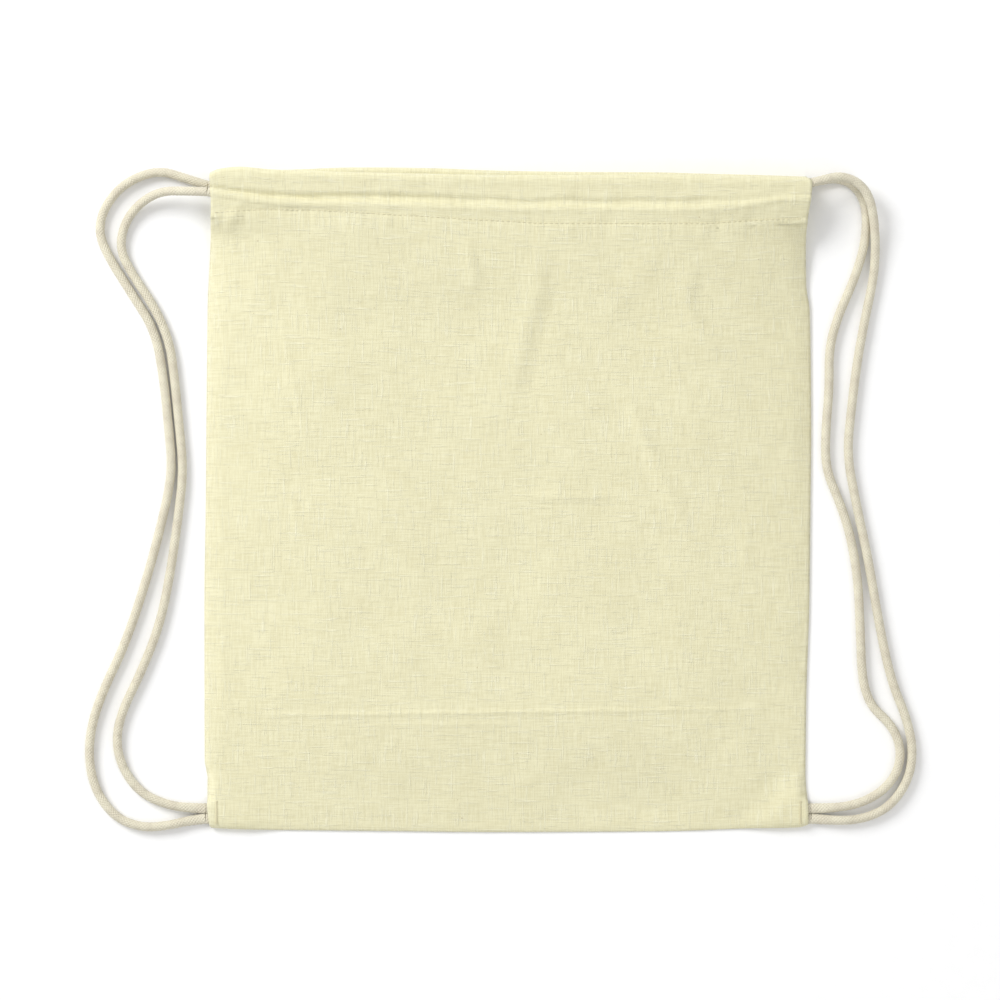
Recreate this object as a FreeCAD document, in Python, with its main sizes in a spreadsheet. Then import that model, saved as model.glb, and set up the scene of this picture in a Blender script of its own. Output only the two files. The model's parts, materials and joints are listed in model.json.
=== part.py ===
import FreeCAD, Part
import math
import os
import Sketcher

# A flat-lying drawstring backpack: +X to the right, +Y towards the mouth, +Z up from the surface it
# lies on. The origin is at the middle of the bag, on that surface. All sizes are in millimetres.

Vector = FreeCAD.Vector
NEAR_ZERO = 1e-9
EDGE_TOLERANCE = 0.01
LEAST_CUT = 1
CUT_MARGIN = 5
doc = FreeCAD.newDocument("drawstring_backpack")

DRIVING = {
    "bag_width": 381.2,
    "bag_height": 420.4,
    "cloth": 1.2,
    "body_gap": 6.4,
    "neck_gap": 11.8,
    "rise_start": 60,
    "rise_end": 130,
    "hem_cloth": 0.7,
    "hem_depth": 30,
    "hem_thickness": 8.2,
    "hem_length": 378,
    "hem_flat": 3,
    "hem_slope_end": 9.5,
    "hem_tilt": 0.75,
    "inner_cutback": 24,
    "front_hem_level": 13,
    "cord_diameter": 6,
    "left_front_lane": -1.2,
    "left_back_lane": 3.6,
    "right_front_lane": 9,
    "right_back_lane": 10.2,
    "loop_centre": 174,
    "allowance_width": 10,
    "allowance_length": 364,
    "allowance_start": 22.4,
    "thread_width": 0.8,
    "thread_height": 0.4,
    "stitch_inset": 1.1,
    "cord_hole_clearance": 0.3,
    "outer_end_place": 202.2,
    "inner_end_place": 195.8,
    "sewn_length": 15,
    "end_stub": 0.6,
    "tack_length": 16,
    "tack_inset": 8,
    "fold_round": 1.08,
    "layer_slope_shift": 0.28,
}

sheet = doc.addObject("Spreadsheet::Sheet", "sizes")
for row, (name, value) in enumerate(DRIVING.items(), 1):
    sheet.set(f"A{row}", name)
    sheet.set(f"B{row}", str(value))
    sheet.setAlias(f"B{row}", name)
doc.recompute()


class Length:
    """A number together with the sheet expression that it comes from."""

    def __init__(self, value, text):
        self.value = value
        self.text = text

    def __add__(self, other):
        other = as_length(other)
        return Length(self.value + other.value, f"({self.text} + {other.text})")

    def __sub__(self, other):
        other = as_length(other)
        return Length(self.value - other.value, f"({self.text} - {other.text})")

    def __mul__(self, factor):
        return Length(self.value * factor, f"({self.text} * {factor})")

    def __truediv__(self, divisor):
        return Length(self.value / divisor, f"({self.text} / {divisor})")

    def __neg__(self):
        return Length(-self.value, f"(0 - {self.text})")


def as_length(number):
    return number if isinstance(number, Length) else Length(float(number), f"({number})")


def cell(name):
    return Length(float(sheet.get(name)), f"sizes.{name}")


def hypotenuse(a, b):
    return Length(math.hypot(a.value, b.value), f"sqrt({a.text}^2 + {b.text}^2)")


def bind(feature, **sizes):
    """Ties a feature's own dimensions to the sheet."""
    for name, length in sizes.items():
        feature.setExpression(name, as_length(length).text)


ZERO = Length(0.0, "0")
cloth = cell("cloth")
half_width = cell("bag_width") / 2
half_height = cell("bag_height") / 2
panel_half_width = half_width - cloth
panel_bottom = -half_height + cloth
body_top = cloth * 2 + cell("body_gap")
neck_top = cloth * 2 + cell("neck_gap")
cord_radius = cell("cord_diameter") / 2
hem_half_depth = cell("hem_depth") / 2
hem_tilt = -cell("hem_tilt").value

# The hem is a straight prism that is turned a little about +Z, so its top left corner is highest.
tilt_rise = hem_half_depth.value + math.sin(math.radians(cell("hem_tilt").value)) * (
    cell("hem_length").value / 2
)
HEM_MIDDLE_Y = half_height.value - tilt_rise
HEM_TURN = FreeCAD.Rotation(Vector(0, 0, 1), hem_tilt)


def hem_placement(level, turn=None):
    """The hem's frame: its X runs along the hem, its Y across it, and its floor is at level."""
    return FreeCAD.Placement(Vector(0, HEM_MIDDLE_Y, level), turn or HEM_TURN)


def new_body(label):
    body = doc.addObject("PartDesign::Body", label)
    body.Label = label
    return body


def add_sketch(body, role, name):
    sketch = body.newObject("Sketcher::SketchObject", f"{body.Label}_{name}")
    plane = next(f for f in body.Origin.OriginFeatures if f.Role == role)
    sketch.AttachmentSupport = [(plane, "")]
    sketch.MapMode = "FlatFace"
    return sketch


def fix_point(sketch, line, end, place, axes="XY"):
    """Fixes one end of a sketch line at a place read from the sheet."""
    for axis, length, zero_axis in (("X", place[0], -2), ("Y", place[1], -1)):
        if axis not in axes:
            continue
        if abs(length.value) < NEAR_ZERO:
            sketch.addConstraint(Sketcher.Constraint("PointOnObject", line, end, zero_axis))
            continue
        number = sketch.addConstraint(
            Sketcher.Constraint(f"Distance{axis}", -1, 1, line, end, length.value)
        )
        sketch.setExpression(f"Constraints[{number}]", length.text)


def outline(body, role, name, corners, arcs=None):
    """A closed sketch through corners, each one fixed from the sheet. Its legs are straight, but a
    leg numbered in arcs is a half circle that bulges to +X, about a centre at that X."""
    arcs = arcs or {}
    sketch = add_sketch(body, role, name)
    corners = [(as_length(x), as_length(y)) for x, y in corners]
    count = len(corners)
    ends = []
    for leg, (first, last) in enumerate(zip(corners, corners[1:] + corners[:1])):
        start = Vector(first[0].value, first[1].value, 0)
        end = Vector(last[0].value, last[1].value, 0)
        if leg in arcs:
            circle = Part.Circle((start + end) / 2, Vector(0, 0, 1), (start - end).Length / 2)
            sketch.addGeometry(Part.ArcOfCircle(circle, -math.pi / 2, math.pi / 2), False)
            ends.append((2, 1) if start.y > end.y else (1, 2))
        else:
            sketch.addGeometry(Part.LineSegment(start, end), False)
            ends.append((1, 2))
    for leg in range(count):
        after = (leg + 1) % count
        joined = Sketcher.Constraint("Coincident", leg, ends[leg][1], after, ends[after][0])
        sketch.addConstraint(joined)
        if leg in arcs:
            fix_point(sketch, leg, 3, (arcs[leg], ZERO), axes="X")
            fix_point(sketch, after, 1, corners[after])
        elif (leg - 1) % count not in arcs:
            fix_point(sketch, leg, 1, corners[leg])
        if after in arcs:
            fix_point(sketch, leg, 2, corners[after])
    return sketch


def pad(body, sketch, length, both_ways=False):
    """Thickens a sketch by length, to one side or half to each side."""
    feature = body.newObject("PartDesign::Pad", f"{body.Label}_pad")
    feature.Profile = sketch
    bind(feature, Length=length)
    if both_ways:
        feature.SideType = "Symmetric"
    return feature


def box(label, length, width, height, placement):
    part = doc.addObject("Part::Box", label)
    part.Label = label
    bind(part, Length=length, Width=width, Height=height)
    part.Placement = placement
    return part


# ---- the cloth panels and the fold and seams that join them -------------------------------------

hem_cos = math.cos(math.radians(cell("hem_tilt").value))
hem_tan = math.tan(math.radians(cell("hem_tilt").value))
hem_foot = HEM_MIDDLE_Y - hem_half_depth.value / hem_cos


def foot_at(x):
    """Where the hem's lower edge runs at x, so that the panels end there."""
    return Length(hem_foot - x * hem_tan, f"({hem_foot} - {x} * {hem_tan})")


def make_back_panel():
    body = new_body("back_panel")
    side = panel_half_width
    corners = [
        (-side, panel_bottom),
        (side, panel_bottom),
        (side, foot_at(side.value)),
        (-side, foot_at(-side.value)),
    ]
    pad(body, outline(body, "XY_Plane", "plan", corners), cloth)
    return body


def panel_top_line(end):
    """The front panel's upper side from the bottom fold to the hem, as (Y, Z)."""
    return [
        (panel_bottom, body_top),
        (cell("rise_start"), body_top),
        (cell("rise_end"), neck_top),
        (end, neck_top),
    ]


def make_front_panel():
    """The front cloth, which rises over the neck to the level of the front hem."""
    body = new_body("front_panel")
    beyond = as_length(half_height.value)
    upper = panel_top_line(beyond)
    lower = [(y, z - cloth) for y, z in reversed(upper)]
    profile = outline(body, "YZ_Plane", "profile", upper + lower)
    pad(body, profile, panel_half_width * 2, both_ways=True)
    doc.recompute()
    whole = body.Shape.Volume
    side = half_width
    corners = [
        (-side, foot_at(-side.value)),
        (side, foot_at(side.value)),
        (side, beyond + CUT_MARGIN),
        (-side, beyond + CUT_MARGIN),
    ]
    cut = body.newObject("PartDesign::Pocket", "front_panel_hem_cut")
    cut.Profile = outline(body, "XY_Plane", "hem_line", corners)
    cut.Type = "ThroughAll"
    cut.Reversed = True
    doc.recompute()
    if body.Shape.Volume > whole - LEAST_CUT:
        raise RuntimeError("the front panel's top edge wasn't cut")
    return body


def make_bottom_fold():
    """The fold along the bottom edge, with its outer corners rounded."""
    body = new_body("bottom_fold")
    corners = [
        (-half_height, ZERO),
        (panel_bottom, ZERO),
        (panel_bottom, body_top),
        (-half_height, body_top),
    ]
    wall = pad(body, outline(body, "YZ_Plane", "profile", corners), half_width * 2, both_ways=True)
    doc.recompute()
    outer = [
        f"Edge{number}"
        for number, edge in enumerate(wall.Shape.Edges, 1)
        if edge.BoundBox.YMax < -half_height.value + EDGE_TOLERANCE
        and edge.BoundBox.XLength > half_width.value
    ]
    fillet = body.newObject("PartDesign::Fillet", "bottom_fold_round")
    fillet.Base = (wall, outer)
    bind(fillet, Radius=cell("fold_round"))
    return body


def make_side_seam(label, side):
    """The closed edge of the bag on one side, with two holes at its foot for the sewn-in cords."""
    body = new_body(label)
    end = foot_at(side * half_width.value)
    top = panel_top_line(end)
    corners = top + [(end, ZERO), (panel_bottom, ZERO)]
    pad(body, outline(body, "YZ_Plane", "profile", corners), cloth)
    doc.recompute()
    whole = body.Shape.Volume
    holes = add_sketch(body, "YZ_Plane", "cord_holes")
    for number, place in enumerate(("outer_end_place", "inner_end_place")):
        centre = (-cell(place), body_top / 2)
        radius = cord_radius + cell("cord_hole_clearance")
        middle = Vector(centre[0].value, centre[1].value, 0)
        holes.addGeometry(Part.Circle(middle, Vector(0, 0, 1), radius.value), False)
        fix_point(holes, number, 3, centre)
        size = holes.addConstraint(Sketcher.Constraint("Radius", number, radius.value))
        holes.setExpression(f"Constraints[{size}]", radius.text)
    cut = body.newObject("PartDesign::Pocket", f"{label}_cord_cut")
    cut.Profile = holes
    cut.Type = "ThroughAll"
    cut.Reversed = True
    start = panel_half_width.value if side > 0 else -half_width.value
    body.Placement = FreeCAD.Placement(Vector(start, 0, 0), FreeCAD.Rotation())
    doc.recompute()
    if body.Shape.Volume > whole - LEAST_CUT:
        raise RuntimeError(f"the cord holes in {label} weren't cut")
    return body


def make_allowance(side_name, side):
    """The panels' raw edges, turned inside along the seam, and the thread that sews them."""
    width = cell("allowance_width")
    inner = panel_half_width - width
    start = inner.value if side > 0 else -panel_half_width.value
    low = panel_bottom.value + cell("allowance_start").value
    cloth_strip = box(
        f"{side_name}_seam_allowance",
        width,
        cell("allowance_length"),
        cloth,
        FreeCAD.Placement(Vector(start, low, cloth.value), FreeCAD.Rotation()),
    )
    thread_x = side * (panel_half_width.value - width.value / 2) - cell("thread_width").value / 2
    thread = box(
        f"{side_name}_seam_stitching",
        cell("thread_width"),
        cell("allowance_length"),
        cell("thread_height"),
        FreeCAD.Placement(Vector(thread_x, low, cloth.value * 2), FreeCAD.Rotation()),
    )
    return [cloth_strip, thread]


# ---- the hem channels on the front and back, which hold both cords -------------------------------

hem_cloth = cell("hem_cloth")
hem_thickness = cell("hem_thickness")
fold_radius = hem_thickness / 2
fold_centre = hem_half_depth - fold_radius
hem_foot_v = -hem_half_depth
slope_foot = hem_foot_v + cell("hem_flat")
slope_head = hem_foot_v + cell("hem_slope_end")


hem_inner_length = cell("hem_length") - cell("inner_cutback") * 2


def top_layer():
    """The layer over the cords, from the fold down its slope to the stitching, above and below."""
    upper = [
        (fold_centre, hem_thickness),
        (slope_head, hem_thickness),
        (slope_foot, hem_cloth * 2),
        (hem_foot_v, hem_cloth * 2),
    ]
    lower = [
        (hem_foot_v, hem_cloth),
        (slope_foot + cell("layer_slope_shift"), hem_cloth),
        (slope_head + cell("layer_slope_shift"), hem_thickness - hem_cloth),
        (fold_centre, hem_thickness - hem_cloth),
    ]
    return upper + lower


def make_hem_layer(label, corners, arcs, length, level):
    body = new_body(label)
    pad(body, outline(body, "YZ_Plane", "profile", corners, arcs), length, both_ways=True)
    body.Placement = hem_placement(level)
    return body


def open_fold_ends(body, low, high):
    """Cuts the fold's mouth side back at both ends of the hem, where the far loops pass."""
    doc.recompute()
    whole = body.Shape.Volume
    inside = hem_inner_length / 2
    outside = cell("hem_length") / 2 + CUT_MARGIN
    for name, near, far in (("left", -outside, -inside), ("right", inside, outside)):
        corners = [(near, low), (far, low), (far, high), (near, high)]
        cut = body.newObject("PartDesign::Pocket", f"{body.Label}_{name}_slit")
        cut.Profile = outline(body, "XZ_Plane", f"{name}_slit_line", corners)
        cut.Type = "ThroughAll"
    doc.recompute()
    if body.Shape.Volume > whole - LEAST_CUT:
        raise RuntimeError(f"{body.Label} wasn't cut back at its ends")


def make_front_hem(level):
    """The front hem: its outer layer lies over the cords and slopes to the stitching, and the fold
    joins it to the inner layer below."""
    length = cell("hem_length")
    whole = top_layer()
    outer = make_hem_layer("front_hem_outer", whole[:2] + whole[-2:], None, length, level)
    slope = make_hem_layer("front_hem_slope", whole[1:-1], None, length, level)
    corners = [
        (fold_centre, ZERO),
        (fold_centre, hem_thickness),
        (fold_centre, hem_thickness - hem_cloth),
        (fold_centre, hem_cloth),
    ]
    arcs = {0: fold_centre, 2: fold_centre}
    fold = make_hem_layer("front_hem_fold", corners, arcs, length, level)
    flat = [
        (hem_foot_v, ZERO),
        (fold_centre, ZERO),
        (fold_centre, hem_cloth),
        (hem_foot_v, hem_cloth),
    ]
    inner = make_hem_layer("front_hem_inner", flat, None, hem_inner_length, level)
    open_fold_ends(fold, ZERO - CUT_MARGIN, fold_radius)
    return [outer, slope, fold, inner]


def make_back_hem(level):
    """The back hem: its outer layer lies on the floor and runs up round the fold to the inner one."""
    corners = [
        (fold_centre, ZERO),
        (fold_centre, hem_thickness),
        (fold_centre, hem_thickness - hem_cloth),
        (fold_centre, hem_cloth),
        (hem_foot_v, hem_cloth),
        (hem_foot_v, ZERO),
    ]
    outer = make_hem_layer(
        "back_hem_outer", corners, {0: fold_centre, 2: fold_centre}, cell("hem_length"), level
    )
    inner = make_hem_layer("back_hem_inner", top_layer(), None, hem_inner_length, level)
    open_fold_ends(outer, fold_radius, hem_thickness + CUT_MARGIN)
    return [outer, inner]


def make_hem_stitching(label, level):
    """The line of thread along the hem's lower edge."""
    width = cell("thread_width")
    length = hem_inner_length
    part = box(label, length, width, cell("thread_height"), FreeCAD.Placement())
    offset = Vector(
        -length.value / 2,
        hem_foot_v.value + cell("stitch_inset").value,
        hem_cloth.value * 2,
    )
    part.Placement = hem_placement(level).multiply(FreeCAD.Placement(offset, FreeCAD.Rotation()))
    return part


# ---- the two cords, each a loop through both hems with both ends sewn into its own corner ---------


def make_hem_run(label, side, lane, level):
    """A cord's straight run through one hem, from its exit on its own side to its far loop."""
    run = doc.addObject("Part::Cylinder", label)
    run.Label = label
    bind(run, Radius=cord_radius, Height=cell("hem_length") / 2 + cell("loop_centre"))
    middle = level + fold_radius.value
    start = Vector(side * cell("hem_length").value / 2, lane.value, 0)
    lie_down = FreeCAD.Rotation(Vector(0, 0, 1), Vector(-side, 0, 0))
    run.Placement = hem_placement(middle).multiply(FreeCAD.Placement(start, lie_down))
    return run


def make_far_loop(label, side, front_lane, back_lane, front_level):
    """The half turn that joins a cord's two runs at the other side of the bag."""
    loop = doc.addObject("Part::Torus", label)
    loop.Label = label
    rise = cell("front_hem_level")
    across = front_lane - back_lane
    bind(loop, Radius1=hypotenuse(across, rise) / 2, Radius2=cord_radius, Angle3=180)
    centre = Vector(-side * cell("loop_centre").value, (front_lane + back_lane).value / 2, 0)
    to_front = Vector(0, across.value, rise.value).normalize()
    outwards = Vector(-side, 0, 0)
    turn = FreeCAD.Rotation(to_front, outwards, to_front.cross(outwards), "XYZ")
    middle = front_level / 2 + fold_radius.value
    loop.Placement = hem_placement(middle).multiply(FreeCAD.Placement(centre, turn))
    return loop


def make_sewn_end(label, side, place):
    """The end of a strand, caught in the side seam and lying inside the bottom corner."""
    stub = doc.addObject("Part::Cylinder", label)
    stub.Label = label
    bind(stub, Radius=cord_radius, Height=cell("sewn_length") + cell("end_stub"))
    outside = side * (half_width.value + cell("end_stub").value)
    start = Vector(outside, -cell(place).value, body_top.value / 2)
    stub.Placement = FreeCAD.Placement(start, FreeCAD.Rotation(Vector(0, 0, 1), Vector(-side, 0, 0)))
    return stub


def make_corner_tack(label, side):
    """The bar of stitching on the front cloth that holds the two sewn-in ends."""
    width = cell("thread_width")
    x = side * (half_width.value - cell("tack_inset").value) - width.value / 2
    low = -(cell("outer_end_place").value + cell("inner_end_place").value) / 2
    start = Vector(x, low - cell("tack_length").value / 2, body_top.value)
    place = FreeCAD.Placement(start, FreeCAD.Rotation())
    return box(label, width, cell("tack_length"), cell("thread_height"), place)


# Each strand's route, as points along its middle from the hem's end to the bottom corner.
STRAND_ROUTES = {
    "left_outer_strand": [
        (-190.1, 198.9, 4.1),
        (-204, 203.2, 3.5),
        (-222, 209, 3),
        (-243, 201, 3),
        (-256, 186, 3),
        (-260, 170, 3),
        (-254, 154.5, 3),
        (-239.5, 131.5, 3),
        (-223.8, 107, 3),
        (-218.4, 76, 3),
        (-215.4, 46, 3),
        (-213, 19, 3),
        (-218, -8, 3),
        (-229, -50, 3),
        (-243, -92, 3),
        (-257, -121, 3),
        (-265, -145, 3),
        (-266, -168, 3),
        (-260.5, -187, 3),
        (-248.5, -202, 3),
        (-232, -208, 3),
        (-216, -206.6, 3),
        (-203.5, -203.6, 3.5),
        (-191.8, -202.2, 4.4),
    ],
    "left_inner_strand": [
        (-189.7, 194.1, 17.1),
        (-204, 194.6, 15.6),
        (-220, 195, 9.5),
        (-234, 187.5, 4.6),
        (-243.5, 175, 3),
        (-246.5, 158.5, 3),
        (-238, 142, 3),
        (-224.3, 121.9, 3),
        (-214.8, 100.2, 3),
        (-211.6, 76, 3),
        (-208.6, 46, 3),
        (-206, 18, 3),
        (-209.5, -12, 3),
        (-214, -45, 3),
        (-221, -80, 3),
        (-234, -112, 3),
        (-245, -134, 3),
        (-249, -153, 3),
        (-244.5, -171, 3),
        (-233, -186, 3),
        (-217.5, -193, 3),
        (-204, -195.4, 3.5),
        (-191.5, -195.8, 4.4),
    ],
    "right_upper_strand": [
        (190.1, 199.3, 17.1),
        (198.6, 201.8, 16.6),
        (208, 204, 15.4),
        (217, 202.2, 13.8),
        (224.4, 196.8, 12),
        (228.8, 188.5, 10.6),
        (231.3, 176, 8.2),
        (232.5, 160, 5),
        (231.5, 141, 3),
        (226, 115, 3),
        (221, 88, 3),
        (217.3, 58, 3),
        (214.5, 29, 3),
        (219.5, 1, 3),
        (228, -38, 3),
        (235, -80, 3),
        (242.5, -115, 3),
        (252.5, -139, 3),
        (256.5, -159, 3),
        (253.5, -178, 3),
        (241.5, -195, 3),
        (225, -202.4, 3),
        (208, -203.6, 3.4),
        (191.7, -202.2, 4.4),
    ],
    "right_lower_strand": [
        (189.8, 200.4, 4.1),
        (198, 202.2, 3.6),
        (207, 203.6, 3),
        (215.5, 201.3, 3),
        (222, 195.5, 3),
        (226, 187, 3),
        (227, 174.5, 3),
        (225, 158, 3),
        (218.5, 138, 3),
        (209, 117, 3),
        (203, 96, 3),
        (203.3, 70, 3),
        (200.8, 42, 3),
        (201, 19, 3),
        (210, -2, 3),
        (216.5, -22, 3),
        (221.5, -50, 3),
        (223, -86, 3),
        (224, -114, 3),
        (229.5, -131, 3),
        (242, -142, 3),
        (248.6, -156, 3),
        (247.4, -171, 3),
        (238.8, -183.4, 3),
        (225, -191.8, 3),
        (208, -195.6, 3),
        (191.5, -195.8, 4.4),
    ],
}
ARC_SHARE = 0.45


def route_wire(points):
    """Straight runs joined by tangent arcs, with the arcs' radii."""
    points = [Vector(*point) for point in points]
    edges = []
    radii = []
    here = points[0]
    for before, corner, after in zip(points, points[1:], points[2:]):
        back = (before - corner).normalize()
        onward = (after - corner).normalize()
        turn = math.pi - back.getAngle(onward)
        reach = ARC_SHARE * min((before - corner).Length, (after - corner).Length)
        radius = reach / math.tan(turn / 2)
        start = corner + back * reach
        end = corner + onward * reach
        towards_centre = (back + onward).normalize()
        middle = corner + towards_centre * (math.hypot(radius, reach) - radius)
        edges.append(Part.LineSegment(here, start).toShape())
        edges.append(Part.Arc(start, middle, end).toShape())
        radii.append(radius)
        here = end
    edges.append(Part.LineSegment(here, points[-1]).toShape())
    return Part.Wire(edges), radii


def make_strand(label, points):
    """A free strand of cord: a round tube along its route."""
    wire, radii = route_wire(points)
    radius = cord_radius.value
    direction = wire.Edges[0].tangentAt(wire.Edges[0].FirstParameter)
    section = Part.Wire(Part.Circle(Vector(*points[0]), direction, radius).toShape())
    tube = wire.makePipeShell([section], True, True)
    wanted = math.pi * radius**2 * wire.Length
    print(
        f"{label}: {wire.Length:.0f} long, volume {tube.Volume:.0f} of {wanted:.0f},",
        f"tightest radius {min(radii):.1f}, radii",
        " ".join(f"{radius:.0f}" for radius in radii),
    )
    strand = doc.addObject("Part::Feature", label)
    strand.Label = label
    strand.Shape = tube
    strand.Placement = FreeCAD.Placement()
    return strand


def make_cord(side_name, side):
    """One whole cord apart from its free strands: two hem runs, a far loop and two sewn-in ends."""
    front = cell("front_hem_level").value
    front_lane = cell(f"{side_name}_front_lane")
    back_lane = cell(f"{side_name}_back_lane")
    return [
        make_hem_run(f"{side_name}_cord_front_run", side, front_lane, front),
        make_hem_run(f"{side_name}_cord_back_run", side, back_lane, 0),
        make_far_loop(f"{side_name}_cord_far_loop", side, front_lane, back_lane, front),
        make_sewn_end(f"{side_name}_outer_sewn_end", side, "outer_end_place"),
        make_sewn_end(f"{side_name}_inner_sewn_end", side, "inner_end_place"),
        make_corner_tack(f"{side_name}_corner_tack", side),
    ]


front_level = cell("front_hem_level").value
parts = [make_back_panel(), make_front_panel(), make_bottom_fold()]
parts += make_front_hem(front_level)
parts += make_back_hem(0)
parts.append(make_hem_stitching("front_hem_stitching", front_level))
parts.append(make_hem_stitching("back_hem_stitching", 0))
for side_name, side in (("left", -1), ("right", 1)):
    parts.append(make_side_seam(f"{side_name}_side_seam", side))
    parts += make_allowance(side_name, side)
    parts += make_cord(side_name, side)
parts += [make_strand(label, points) for label, points in STRAND_ROUTES.items()]

doc.recompute()
for item in doc.Objects:
    if "Invalid" in item.State or "Error" in item.State:
        raise RuntimeError(f"{item.Label} failed: {item.State}")
for part in parts:
    if part.Shape.isNull() or not part.Shape.isValid():
        raise RuntimeError(f"{part.Label} has no valid shape")
os.makedirs("parts", exist_ok=True)
for part in parts:
    part.Shape.exportStep(f"parts/{part.Label}.step")
print(len(parts), "parts written")
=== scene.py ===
import json
import math

import bpy
import numpy as np
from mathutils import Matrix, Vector, noise


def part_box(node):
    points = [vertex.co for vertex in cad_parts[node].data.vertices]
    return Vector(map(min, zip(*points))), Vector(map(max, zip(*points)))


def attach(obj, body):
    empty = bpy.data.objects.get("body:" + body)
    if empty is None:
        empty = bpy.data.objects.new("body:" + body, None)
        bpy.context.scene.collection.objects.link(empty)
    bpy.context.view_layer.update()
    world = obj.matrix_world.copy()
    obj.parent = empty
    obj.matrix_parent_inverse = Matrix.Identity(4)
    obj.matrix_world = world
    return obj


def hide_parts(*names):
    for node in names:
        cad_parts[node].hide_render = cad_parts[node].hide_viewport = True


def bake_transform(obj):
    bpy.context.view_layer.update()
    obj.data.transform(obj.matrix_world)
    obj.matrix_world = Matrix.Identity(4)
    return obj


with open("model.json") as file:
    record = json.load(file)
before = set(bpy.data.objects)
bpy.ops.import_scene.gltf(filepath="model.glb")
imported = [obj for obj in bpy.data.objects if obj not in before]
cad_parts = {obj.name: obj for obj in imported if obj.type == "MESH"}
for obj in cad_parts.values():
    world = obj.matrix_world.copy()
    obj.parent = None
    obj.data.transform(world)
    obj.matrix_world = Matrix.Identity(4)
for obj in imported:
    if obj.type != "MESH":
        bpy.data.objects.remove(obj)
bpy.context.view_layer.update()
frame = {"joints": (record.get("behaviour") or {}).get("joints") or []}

MM = 0.001
CLOTH_THICKNESS = 0.5 * MM
CORD_DIAMETER = 6 * MM
YARNS = 8

# ---- sizes read from the frame ------------------------------------------------------------------

hem_low, hem_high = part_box("back_hem_outer")
front_fold_low, front_fold_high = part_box("front_hem_fold")
sewn_low, sewn_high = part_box("left_outer_sewn_end")
cord_radius = (sewn_high.z - sewn_low.z) / 2
hem_axis = Vector(frame["joints"][1]["axis"])
hem_slope = hem_axis.y / hem_axis.x
hem_middle = (hem_low.y + hem_high.y) / 2
front_cord_level = (front_fold_low.z + front_fold_high.z) / 2


def hem_line(x):
    """Y of the hem's own middle line at x."""
    return hem_middle + hem_slope * x


# ---- camera and lights --------------------------------------------------------------------------

FIELD = 0.632
CAMERA_HEIGHT = 2.6
SEEN_LEVEL = 0.01
CAMERA_MIDDLE = (-0.0054, -0.0003)
WORLD_STRENGTH = 0.64
KEY_LIGHT = {"place": (-2.3, 2.0, 2.1), "size": 1.9, "power": 100}
FILL_LIGHT = {"place": (1.6, -1.4, 2.6), "size": 2.0, "power": 14}


def make_camera():
    """Straight above the bag; FIELD is the width that it takes in at the bag's own level."""
    data = bpy.data.cameras.new("camera")
    data.lens = data.sensor_width * (CAMERA_HEIGHT - SEEN_LEVEL) / FIELD
    data.clip_start = 0.05
    camera = bpy.data.objects.new("camera", data)
    camera.location = (*CAMERA_MIDDLE, CAMERA_HEIGHT)
    bpy.context.scene.collection.objects.link(camera)
    bpy.context.scene.camera = camera


def make_area_light(name, place, size, power):
    """A round soft light that points at the bag."""
    data = bpy.data.lights.new(name, "AREA")
    data.shape = "DISK"
    data.size = size
    data.energy = power
    light = bpy.data.objects.new(name, data)
    light.location = place
    light.rotation_euler = (-Vector(place)).to_track_quat("-Z", "Y").to_euler()
    bpy.context.scene.collection.objects.link(light)


def make_lights():
    """An even white surround, a soft key from the upper left and a weak fill from the lower right."""
    world = bpy.data.worlds.new("studio")
    bpy.context.scene.world = world
    world.use_nodes = True
    background = world.node_tree.nodes["Background"]
    background.inputs["Color"].default_value = (1, 1, 1, 1)
    background.inputs["Strength"].default_value = WORLD_STRENGTH
    make_area_light("key_light", **KEY_LIGHT)
    make_area_light("fill_light", **FILL_LIGHT)
    bpy.context.scene.view_settings.view_transform = "Standard"


make_camera()
make_lights()

# ---- materials ----------------------------------------------------------------------------------

# A colour mix has sockets of the same name for each kind of data, so its colour ones go by number.
MIX_FIRST, MIX_SECOND, MIX_RESULT = 6, 7, 2


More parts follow.
